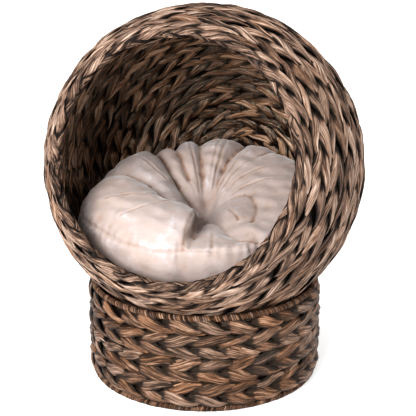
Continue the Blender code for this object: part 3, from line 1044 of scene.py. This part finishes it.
def noise(tree, vector, scale, detail, rough, distort=0.0):
    """Value of a Noise Texture node read at vector."""
    texture = add(tree, "ShaderNodeTexNoise")
    texture.inputs["Scale"].default_value = scale
    texture.inputs["Detail"].default_value = detail
    texture.inputs["Roughness"].default_value = rough
    texture.inputs["Distortion"].default_value = distort
    tree.links.new(vector, texture.inputs["Vector"])
    return texture.outputs["Fac"]


def bump_from(tree, shader, height, strength, distance):
    """Roughen the shader's normal by a height."""
    bump = add(tree, "ShaderNodeBump")
    bump.inputs["Strength"].default_value = strength
    bump.inputs["Distance"].default_value = distance
    tree.links.new(height, bump.inputs["Height"])
    tree.links.new(bump.outputs[0], shader.inputs["Normal"])


def colour_ramp(tree, tones, value):
    """Colour of a Color Ramp node for value; tones are positions and colours."""
    ramp = add(tree, "ShaderNodeValToRGB")
    elements = ramp.color_ramp.elements
    elements.remove(elements[1])
    elements[0].position = tones[0][0]
    elements[0].color = (*tones[0][1], 1.0)
    for position, colour in tones[1:]:
        elements.new(position).color = (*colour, 1.0)
    tree.links.new(value, ramp.inputs[0])
    return ramp.outputs[0]


# %% [markdown]
# Old leaf has greyed and new leaf is warm brown, so two ramps of colour are mixed; their
# deepest colours are reached in the painted shade at the edges and roots.  The pod's
# outside is dusty and greyed, the braid more so, the drum is deep brown, and the inside
# is warm and waxy.  The painted shade is strongest on the drum and on the inside, whose
# finish is a darker, shaded copy.  One function makes all five finishes with other numbers.

# %% Leaf finish
# the deepest colours of both ramps are reached mostly in the painted shade at edges and roots
WARM = [
    (0.00, (0.009, 0.004, 0.0025)),
    (0.25, (0.034, 0.0145, 0.0075)),
    (0.50, (0.168, 0.077, 0.038)),
    (0.75, (0.335, 0.180, 0.102)),
    (1.00, (0.560, 0.360, 0.235)),
]
GREY = [
    (0.00, (0.008, 0.006, 0.006)),
    (0.25, (0.032, 0.021, 0.0175)),
    (0.50, (0.170, 0.105, 0.075)),
    (0.75, (0.340, 0.235, 0.178)),
    (1.00, (0.600, 0.460, 0.380)),
]


def leaf_material(name, base, shade, contrast, greyed, rough, gloss, spread):
    """Streaky dried leaf.

    WARM and GREY are two lists of colours, from the deepest to the palest, and each lobe
    mixes them by its own number; greyed moves that mix.  base is the middle tone, spread
    how far one lobe's tone is from another's, shade how far the painted shade darkens the
    edges and roots, where the leaf dives under its neighbours, and contrast the strength
    of the streaks.  rough is the middle roughness and gloss the strength of the mirror-like
    part, which is what a waxy leaf has and a dusty one lacks.
    """
    material, tree, shader = new_material(name)
    link = tree.links.new
    uv = add(tree, "ShaderNodeUVMap", uv_map="leaf_uv")
    leaf = add(tree, "ShaderNodeAttribute", attribute_name="leaf")
    parts = add(tree, "ShaderNodeSeparateColor")
    link(leaf.outputs["Color"], parts.inputs[0])

    def leaf_noise(scale_across, scale_along, detail, rough):
        """Noise round 0 that is drawn out along the lobe."""
        mapping = add(tree, "ShaderNodeMapping")
        mapping.inputs["Scale"].default_value = (scale_across, scale_along, 1.0)
        link(uv.outputs[0], mapping.inputs["Vector"])
        return maths(tree, "SUBTRACT", noise(tree, mapping.outputs[0], 1.0, detail, rough), 0.5)

    streaks = leaf_noise(11.0, 0.65, 5.0, 0.74)
    patches = leaf_noise(4.0, 2.6, 4.0, 0.65)
    crack = maths(tree, "ABSOLUTE", leaf_noise(8.0, 0.70, 2.0, 0.5))
    crack = maths(tree, "SUBTRACT", 1.0, maths(tree, "MULTIPLY", crack, 22.0))
    crack = maths(tree, "MAXIMUM", crack, 0.0)
    tone = maths(tree, "MULTIPLY", maths(tree, "SUBTRACT", parts.outputs[0], 0.5), spread)
    tone = maths(tree, "ADD", tone, maths(tree, "MULTIPLY", streaks, contrast))
    tone = maths(tree, "ADD", tone, maths(tree, "MULTIPLY", patches, 1.5))
    tone = maths(tree, "ADD", tone, base)
    tone = maths(tree, "SUBTRACT", tone, maths(tree, "MULTIPLY", crack, 0.28))
    # painted shade: the tone darkens near the lobe's edges and roots
    painted_shade = maths(tree, "POWER", parts.outputs[1], 1.5)
    tone = maths(tree, "SUBTRACT", tone, maths(tree, "MULTIPLY", painted_shade, shade))
    mix = add(tree, "ShaderNodeMix", data_type="RGBA")
    blend = maths(tree, "ADD", parts.outputs[2], greyed)
    link(maths(tree, "ADD", blend, maths(tree, "MULTIPLY", patches, 1.6)), mix.inputs["Factor"])
    link(colour_ramp(tree, WARM, tone), mix.inputs[6])
    link(colour_ramp(tree, GREY, tone), mix.inputs[7])
    link(mix.outputs[2], shader.inputs["Base Color"])
    link(maths(tree, "ADD", maths(tree, "MULTIPLY", streaks, 0.5), rough), shader.inputs["Roughness"])
    shader.inputs["Specular IOR Level"].default_value = gloss
    shader.inputs["Specular Tint"].default_value = (1.0, 0.80, 0.62, 1.0)
    relief = maths(tree, "ADD", streaks, maths(tree, "MULTIPLY", patches, 0.8))
    relief = maths(tree, "SUBTRACT", relief, maths(tree, "MULTIPLY", crack, 0.25))
    bump_from(tree, shader, relief, 0.8, 0.0018)
    return material


weathered = leaf_material(
    "weathered_leaf", base=0.62, shade=1.60, contrast=1.9, greyed=0.50,
    rough=0.50, gloss=0.22, spread=0.36,
)
brown = leaf_material(
    "brown_leaf", base=0.48, shade=2.80, contrast=2.2, greyed=-0.08,
    rough=0.38, gloss=0.36, spread=0.26,
)
# the inside's finish is a shaded copy, with stronger painted shade at the edges and roots
shaded = leaf_material(
    "shaded_leaf", base=0.57, shade=2.60, contrast=3.2, greyed=-0.35,
    rough=0.18, gloss=1.00, spread=0.60,
)
lip_finish = leaf_material(
    "lip_leaf", base=0.44, shade=1.40, contrast=2.2, greyed=0.90,
    rough=0.54, gloss=0.15, spread=0.26,
)
cord_finish = leaf_material(
    "cord_leaf", base=0.54, shade=0.90, contrast=1.4, greyed=-0.05,
    rough=0.55, gloss=0.20, spread=0.50,
)
FINISHED = (
    (weathered, outer_leaf, knot),
    (shaded, inner_leaf, drum_inside),
    (lip_finish, lip_leaf),
    (brown, drum_leaf),
    (cord_finish, top_cord, foot_cord),
)
for finish, *pieces in FINISHED:
    for piece in pieces:
        piece.data.materials.append(finish)
    print(finish.name, "on", [piece.name for piece in pieces])

# %% [markdown]
# The cores are nearly black, painted shade for the gaps between the lobes, and the wires
# are coated steel with a fine speckle in their gloss.  Every frame node that no new piece
# stands for is such a wire.

# %% Cores and steel
# painted shade: the cores are nearly black, for the shade in the gaps between the lobes
gap_shade_material, tree, shader = new_material("painted_gap_shade")
shader.inputs["Base Color"].default_value = (0.010, 0.006, 0.004, 1.0)
shader.inputs["Roughness"].default_value = 0.9
shader.inputs["Specular IOR Level"].default_value = 0.05
for piece in (pod_core, drum_core):
    piece.data.materials.append(gap_shade_material)

steel, tree, shader = new_material("coated_steel")
coords = add(tree, "ShaderNodeTexCoord")
speckle = noise(tree, coords.outputs["Object"], 400.0, 2.0, 0.5)
speckle = maths(tree, "ADD", maths(tree, "MULTIPLY", speckle, 0.4), 0.45)
tree.links.new(speckle, shader.inputs["Roughness"])
shader.inputs["Specular IOR Level"].default_value = 0.20
shader.inputs["Base Color"].default_value = (0.030, 0.026, 0.023, 1.0)
replaced = {
    "pod_outer_weave", "pod_inner_weave", "pod_rim_braid",
    "base_outer_weave", "base_inner_weave", "base_top_wrap", "base_bottom_wrap",
}
wires = [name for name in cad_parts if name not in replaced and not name.startswith("cushion")]
for name in wires:
    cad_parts[name].data.materials.clear()
    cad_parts[name].data.materials.append(steel)
print(len(wires), "wires of coated steel")

# %% [markdown]
# Velvet takes its tone from the lie of its pile.  Two noises stand for that, a broad
# nap and a fine crush, and the painted shade of the folds and hollows, with its painted
# highlight on crests, is taken off them.  A sheen brightens it where one looks along
# the surface, as the tips of the pile do.

# %% Velvet
# the deepest tones are reached mostly in the painted shade of the folds and hollows
VELVET_TONES = [
    (0.05, (0.240, 0.153, 0.116)),
    (0.27, (0.362, 0.276, 0.234)),
    (0.40, (0.400, 0.320, 0.288)),
    (0.58, (0.410, 0.336, 0.312)),
    (0.70, (0.444, 0.384, 0.370)),
    (0.82, (0.520, 0.485, 0.500)),
]
velvet, tree, shader = new_material("crushed_velvet")
coords = add(tree, "ShaderNodeTexCoord")
nap = noise(tree, coords.outputs["Object"], 14.0, 4.0, 0.6, 1.2)
crush_marks = noise(tree, coords.outputs["Object"], 90.0, 4.0, 0.65)
fold_shade_and_highlight = add(tree, "ShaderNodeAttribute", attribute_name="fold_shade_and_highlight")
pile_and_painted_shade = maths(tree, "MULTIPLY", maths(tree, "SUBTRACT", crush_marks, 0.5), 0.45)
pile_and_painted_shade = maths(tree, "ADD", nap, pile_and_painted_shade)
# painted shade in the folds and hollows, and painted highlight on the crests, come off the pile
pile_and_painted_shade = maths(tree, "SUBTRACT", pile_and_painted_shade, maths(tree, "MULTIPLY", fold_shade_and_highlight.outputs["Fac"], 0.31))
tree.links.new(colour_ramp(tree, VELVET_TONES, pile_and_painted_shade), shader.inputs["Base Color"])
shader.inputs["Roughness"].default_value = 0.85
shader.inputs["Specular IOR Level"].default_value = 0.15
shader.inputs["Sheen Weight"].default_value = 0.60
shader.inputs["Sheen Roughness"].default_value = 0.35
relief = maths(tree, "ADD", crush_marks, maths(tree, "MULTIPLY", nap, 0.8))
bump_from(tree, shader, relief, 0.45, 0.0025)
cushion.data.materials.clear()
cushion.data.materials.append(velvet)
print("velvet in", len(VELVET_TONES), "tones")

# %% [markdown]
# ## Floor, light and camera
#
# The ground is plain white with a soft shadow.  So the floor glows, more so further
# from the basket, and mostly for rays that come straight from the camera, or it would
# light the basket from below.  It doesn't glow inside the drum, where no light comes.
# A large soft light in front and two weak ones fill the pod without hard shadows.  The
# Standard view keeps white white, and its look deepens the gaps between the lobes.

# %% Studio
FLOOR_HALF = 60.0
CORNERS = [(-1, -1), (1, -1), (1, 1), (-1, 1)]
floor_mesh = bpy.data.meshes.new("floor")
floor_mesh.from_pydata([(FLOOR_HALF * x, FLOOR_HALF * y, 0) for x, y in CORNERS], [], [(0, 1, 2, 3)])
floor = new_object("floor", floor_mesh)
floor_material, tree, shader = new_material("floor")
shader.inputs["Base Color"].default_value = (0.93, 0.93, 0.93, 1.0)
shader.inputs["Roughness"].default_value = 0.8
shader.inputs["Emission Color"].default_value = (1.0, 1.0, 1.0, 1.0)
coords = add(tree, "ShaderNodeTexCoord")
reach = add(tree, "ShaderNodeVectorMath", operation="LENGTH")
tree.links.new(coords.outputs["Object"], reach.inputs[0])
glow = add(tree, "ShaderNodeMapRange")
for socket, value in (("From Min", 0.3), ("From Max", 2.0), ("To Min", 0.40), ("To Max", 0.85)):
    glow.inputs[socket].default_value = value
tree.links.new(reach.outputs["Value"], glow.inputs["Value"])
seen = add(tree, "ShaderNodeLightPath").outputs["Is Camera Ray"]
seen = maths(tree, "ADD", maths(tree, "MULTIPLY", seen, 0.8), 0.2)
outside = maths(tree, "GREATER_THAN", reach.outputs["Value"], 0.9 * ring_radius)
seen = maths(tree, "MULTIPLY", seen, outside)
tree.links.new(maths(tree, "MULTIPLY", seen, glow.outputs[0]), shader.inputs["Emission Strength"])
floor_mesh.materials.append(floor_material)

world = bpy.data.worlds.new("studio")
bpy.context.scene.world = world
world.use_nodes = True
sky = world.node_tree.nodes["Background"]
sky.inputs["Color"].default_value = (1.0, 1.0, 1.0, 1.0)
sky.inputs["Strength"].default_value = 0.18
bpy.context.scene.view_settings.view_transform = "Standard"
bpy.context.scene.view_settings.look = "Medium High Contrast"


AIM = (0, 0, 0.3)


def soft_light(name, place, size, power):
    """A square area light at place that looks at AIM."""
    data = bpy.data.lights.new(name, "AREA")
    data.size = size
    data.energy = power
    light = new_object(name, data)
    light.location = place
    look = np.array(AIM) - np.array(place)
    light.rotation_euler = Vector(look).to_track_quat("-Z", "Y").to_euler()
    print(name, "light,", power, "W at", place)


soft_light("key", (-0.50, -2.25, 1.45), size=1.6, power=104)
soft_light("side", (2.2, -0.5, 1.3), size=1.4, power=28)
soft_light("top", (0.2, 0.1, 2.4), size=1.2, power=16)

# %% [markdown]
# The camera stands a little to the right and above, and a long lens keeps the basket
# from looking bulged.

# %% Camera
AZIMUTH = math.radians(17.2)
ELEVATION = math.radians(18.2)
DISTANCE = 2.0
AIM_HEIGHT = 0.2695
AIM_RIGHT = 0.0059
LENS = 108.1  # mm
SENSOR = 36.0  # mm
toward = Vector((
    math.sin(AZIMUTH) * math.cos(ELEVATION),
    -math.cos(AZIMUTH) * math.cos(ELEVATION),
    math.sin(ELEVATION),
))
right = Vector((math.cos(AZIMUTH), math.sin(AZIMUTH), 0.0))
target = Vector((0.0, ring_centre[1], AIM_HEIGHT)) + right * AIM_RIGHT
camera_data = bpy.data.cameras.new("camera")
camera_data.lens = LENS
camera_data.sensor_width = SENSOR
camera = new_object("camera", camera_data)
camera.location = target + toward * DISTANCE
camera.rotation_euler = (-toward).to_track_quat("-Z", "Y").to_euler()
bpy.context.scene.camera = camera
print("camera at", [round(v, 3) for v in camera.location])
